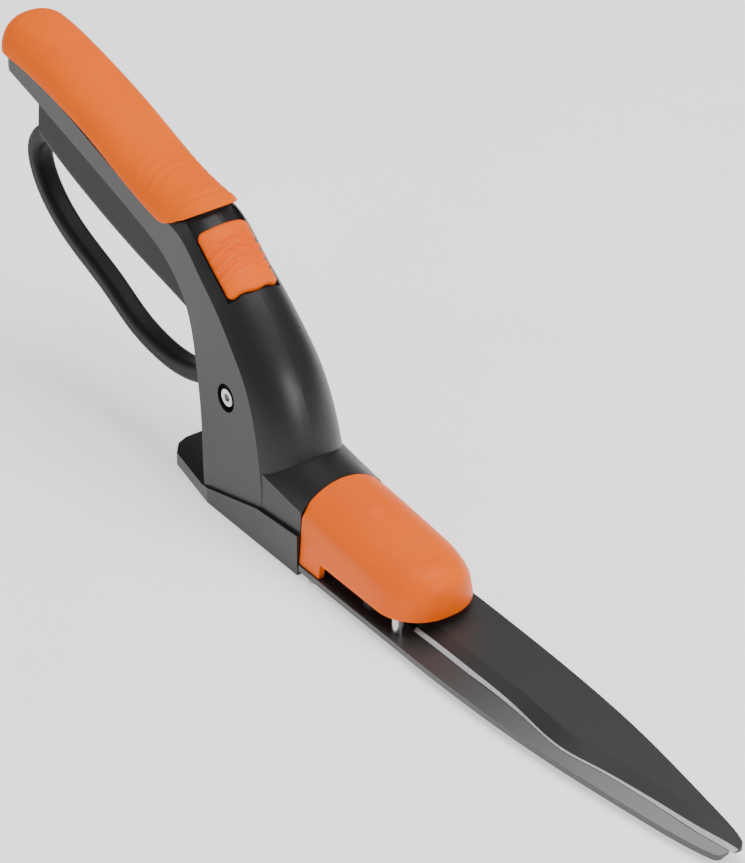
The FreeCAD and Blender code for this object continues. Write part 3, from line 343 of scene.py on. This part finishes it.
def makeGripCover():
    low, high = [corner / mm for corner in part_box("grip_cover")]
    size = {"half": high.y - 0.05, "rearX": low.x + 0.1, "domeLength": 11.5, "domeShare": 0.14,
            "domeFullness": 0.85, "domeTuck": 1.0, "sideFrontX": -39.5, "crownFrontX": -24.0,
            "cornerBend": 0.72, "fullness": 2.25, "wall": 0.8, "acrossSteps": 44, "alongSteps": 130,
            "thumbRibX": (-57.0, -43.0), "thumbRibPitch": 3.6, "thumbRibHeight": 0.28, "thumbRibBow": 0.10,
            "frontRibX": (-36.0, -27.5), "frontRibPitch": 4.2, "frontRibHeight": 0.30, "frontRibBow": 0.25,
            "sideRibShare": 0.6}
    # (x, height) of the handle's crown and of the grip's lower edge, from the rear forward
    crownLine = [(-138.8, 118.3), (-130.0, 118.75), (-120.0, 117.75), (-110.0, 115.75), (-100.0, 113.4),
                 (-90.0, 110.75), (-80.0, 107.9), (-68.0, 104.25), (-60.0, 101.7), (-50.0, 98.9),
                 (-40.0, 97.5), (-30.0, 96.6), (-24.0, 95.4), (-20.0, 94.2)]
    edgeLine = [(-138.8, 106.0), (-127.9, 106.6), (-117.9, 106.2), (-99.7, 103.5), (-79.7, 98.9),
                (-59.7, 92.3), (-47.8, 88.8), (-39.0, 86.9), (-30.0, 85.6), (-20.0, 84.0)]
    domeX = size["rearX"] + size["domeLength"]
    frontReach = size["crownFrontX"] - size["sideFrontX"]
    bm = bmesh.new()
    bmesh.ops.create_grid(bm, x_segments=size["alongSteps"], y_segments=size["acrossSteps"], size=1.0)
    for vert in bm.verts:
        lengthwise = (vert.co.x + 1) / 2
        turn = math.pi * (vert.co.y + 1) / 2
        lift = math.sin(turn)
        crossY = math.copysign(abs(math.cos(turn)) ** (2 / size["fullness"]), math.cos(turn))
        crossZ = max(lift, 0.0) ** (2 / size["fullness"])
        frontX = size["sideFrontX"] + frontReach * crossZ ** size["cornerBend"]
        if lengthwise < size["domeShare"]:
            angle = lengthwise / size["domeShare"] * math.pi / 2
            x = domeX - size["domeLength"] * math.cos(angle)
            shrink = math.sin(angle)
        else:
            x = domeX + (frontX - domeX) * (lengthwise - size["domeShare"]) / (1 - size["domeShare"])
            shrink = 1.0
        crown = along(crownLine, x)
        edge = along(edgeLine, x)
        edge += size["domeTuck"] * (1 - shrink)
        height = (crown - edge) * shrink ** size["domeFullness"]
        y = size["half"] * shrink * crossY
        z = edge + height * crossZ
        ribs = smooth(size["thumbRibX"][0], size["thumbRibX"][0] + 3, x) * (
            1 - smooth(size["thumbRibX"][1] - 3, size["thumbRibX"][1], x))
        ribs *= smooth(0.25, 0.7, crossZ) * size["thumbRibHeight"]
        bowed = x - size["thumbRibBow"] * abs(y) ** 1.4
        swell = ribs * (math.sin(2 * math.pi * bowed / size["thumbRibPitch"]) - 0.5)
        front = smooth(size["frontRibX"][0], size["frontRibX"][0] + 3, x) * (
            1 - smooth(size["frontRibX"][1] - 2, size["frontRibX"][1], x))
        front *= smooth(0.25, 0.6, crossZ) * size["frontRibHeight"]
        swell += front * math.sin(2 * math.pi * (x + size["frontRibBow"] * abs(y)) / size["frontRibPitch"])
        vert.co = (x, y + swell * crossY * size["sideRibShare"], z + swell * crossZ)
    bmesh.ops.remove_doubles(bm, verts=bm.verts, dist=0.01)
    bmesh.ops.recalc_face_normals(bm, faces=bm.faces)
    topFace = max(bm.faces, key=lambda f: f.calc_center_median().z)
    if topFace.normal.z < 0:
        bmesh.ops.reverse_faces(bm, faces=bm.faces)
    return finishPiece("gripCover", bm, orangeRubber, "root", "grip_cover",
                       wall=size["wall"], edge=0.3)


makeGripCover()
print("grip cover made")


def makeLockButton():
    # the button lies on a round bed whose axis runs down the neck
    size = {"middle": Vector((-12.8, 0, 82.2)), "slope": 38.5, "bedRadius": 12.8, "length": 23.9,
            "halfAngle": 41.0, "thick": 2.69, "gap": 0.2, "corner": 2.8, "edgeRound": 1.2,
            "ribPitch": 3.3, "ribHeight": 0.6, "ribBow": 1.3, "ribReach": (-7.6, 6.2), "frontWave": 0.9,
            "frontWaveLength": 9.0}
    slope = math.radians(size["slope"])
    forward = Vector((math.cos(slope), 0, -math.sin(slope)))
    outward = Vector((math.sin(slope), 0, math.cos(slope)))
    halfLong = size["length"] / 2
    halfWide = math.radians(size["halfAngle"]) * (size["bedRadius"] + size["thick"])
    bm = bmesh.new()
    lowLayer = bm.verts.layers.int.new("low")
    bmesh.ops.create_grid(bm, x_segments=1, y_segments=1, size=1.0)
    bmesh.ops.scale(bm, vec=(halfLong, halfWide, 1), verts=bm.verts)
    bmesh.ops.bevel(bm, geom=list(bm.verts), offset=size["corner"], offset_type="OFFSET", affect="VERTICES",
                    segments=8, profile=0.5, material=-1)
    for ring in (0.12, 0.25, 0.35, 0.45, 0.6):
        top = max(bm.faces, key=lambda f: f.calc_area())
        bmesh.ops.inset_region(bm, faces=[top], thickness=ring, depth=0.0, use_even_offset=True)
    rim = [e for e in bm.edges if e.is_boundary]
    skirt = bmesh.ops.extrude_edge_only(bm, edges=rim)
    for vert in [v for v in skirt["geom"] if isinstance(v, bmesh.types.BMVert)]:
        vert[lowLayer] = 1
    sliceUp(bm, 0, evenly(-halfLong + 1.2, halfLong - 1.2, 0.45))
    sliceUp(bm, 1, evenly(-halfWide + 1.2, halfWide - 1.2, 0.9))
    for vert in bm.verts:
        a, b, _ = vert.co
        cornerA = halfLong - size["corner"]
        cornerB = halfWide - size["corner"]
        depth = min(halfLong - abs(a), halfWide - abs(b))
        if abs(a) > cornerA and abs(b) > cornerB:
            depth = size["corner"] - math.hypot(abs(a) - cornerA, abs(b) - cornerB)
        rounding = size["edgeRound"]
        depth = min(max(depth, 0.0), rounding)
        if vert[lowLayer]:
            height = size["gap"]
        else:
            height = size["thick"] - size["ribHeight"] - rounding
            height += math.sqrt(rounding ** 2 - (rounding - depth) ** 2)
            wave = a + size["ribBow"] * math.cos(math.pi * b / halfWide)
            reach = smooth(size["ribReach"][0], size["ribReach"][0] + 2, wave) * (
                1 - smooth(size["ribReach"][1] - 2, size["ribReach"][1], wave))
            reach *= smooth(0.0, 2.2, halfWide - abs(b))
            height += size["ribHeight"] * reach * math.cos(2 * math.pi * wave / size["ribPitch"])
        bow = size["frontWave"] * smooth(halfLong - size["frontWaveLength"], halfLong, a)
        bow *= 0.5 - 0.5 * math.cos(2 * math.pi * b / halfWide)
        turn = b / (size["bedRadius"] + size["thick"])
        radius = size["bedRadius"] + height
        centre = size["middle"] - outward * size["bedRadius"] + forward * (a - bow)
        vert.co = centre + outward * (radius * math.cos(turn)) + Vector((0, radius * math.sin(turn), 0))
    bmesh.ops.recalc_face_normals(bm, faces=bm.faces)
    topFace = max(bm.faces, key=lambda f: f.calc_area())
    if topFace.normal.dot(outward) < 0:
        bmesh.ops.reverse_faces(bm, faces=bm.faces)
    return finishPiece("lockButton", bm, orangeAbs, "lock", "lock_button")


makeLockButton()
print("lock button made")


def makeStage():
    size = {"floorHalf": 3.0, "floorDrop": 0.0002}
    bm = bmesh.new()
    bmesh.ops.create_grid(bm, x_segments=8, y_segments=8, size=size["floorHalf"])
    bmesh.ops.translate(bm, vec=(0, 0, -size["floorDrop"]), verts=bm.verts)
    mesh = bpy.data.meshes.new("floor")
    bm.to_mesh(mesh)
    bm.free()
    floor = bpy.data.objects.new("floor", mesh)
    bpy.context.scene.collection.objects.link(floor)
    # matt white paper on a light table, so it glows a little and shadows stay soft
    paper, tree, shader, place = startMaterial("white_studio_paper", {
        "Roughness": 0.9, "Emission Strength": 0.7})
    fibre = addNode(tree, "ShaderNodeTexNoise", {"Scale": 1 / (60 * mm), "Detail": 2.0},
                    {"Vector": (place, "Object")})
    colour = addNode(tree, "ShaderNodeValToRGB", {
        "stops": [(0.3, tone("#F6F6F6")), (0.7, tone("#FAFAFA"))]}, {"Fac": (fibre, "Fac")})
    tree.links.new(colour.outputs["Color"], shader.inputs["Base Color"])
    shader.inputs["Emission Color"].default_value = tone("#FFFFFF")
    mesh.materials.append(paper)


def makeLight():
    world = bpy.data.worlds.new("softRoom")
    world.use_nodes = True
    world.node_tree.nodes["Background"].inputs["Color"].default_value = (1.0, 1.0, 1.0, 1.0)
    world.node_tree.nodes["Background"].inputs["Strength"].default_value = 0.28
    bpy.context.scene.world = world
    lamps = {
        "overhead": {"place": (0.05, 0.25, 1.40), "aim": (0.03, 0, 0.05), "width": 1.2, "power": 21.0},
        "leftSide": {"place": (-0.55, -1.05, 0.75), "aim": (-0.02, 0, 0.05), "width": 0.8, "power": 2.2},
        "front": {"place": (1.30, 0.15, 0.60), "aim": (0.05, 0, 0.05), "width": 0.5, "power": 9.0},
    }
    for name, lamp in lamps.items():
        data = bpy.data.lights.new(name, "AREA")
        data.shape = "SQUARE"
        data.size = lamp["width"]
        data.energy = lamp["power"]
        light = bpy.data.objects.new(name, data)
        light.location = lamp["place"]
        facing = Vector(lamp["aim"]) - Vector(lamp["place"])
        light.rotation_euler = facing.to_track_quat("-Z", "Y").to_euler()
        bpy.context.scene.collection.objects.link(light)


def makeCamera():
    view = {"aim": (0.0584, 0.0, 0.0555), "place": (1.0131, -0.6835, 0.8180), "lens": 192.7, "sensor": 36.0}
    data = bpy.data.cameras.new("camera")
    data.lens = view["lens"]
    data.sensor_width = view["sensor"]
    data.sensor_fit = "AUTO"
    data.clip_start = 0.01
    data.clip_end = 20.0
    camera = bpy.data.objects.new("camera", data)
    camera.location = view["place"]
    facing = Vector(view["aim"]) - Vector(view["place"])
    camera.rotation_euler = facing.to_track_quat("-Z", "Y").to_euler()
    bpy.context.scene.collection.objects.link(camera)
    bpy.context.scene.camera = camera


makeStage()
makeLight()
makeCamera()
print("floor, light and camera made")
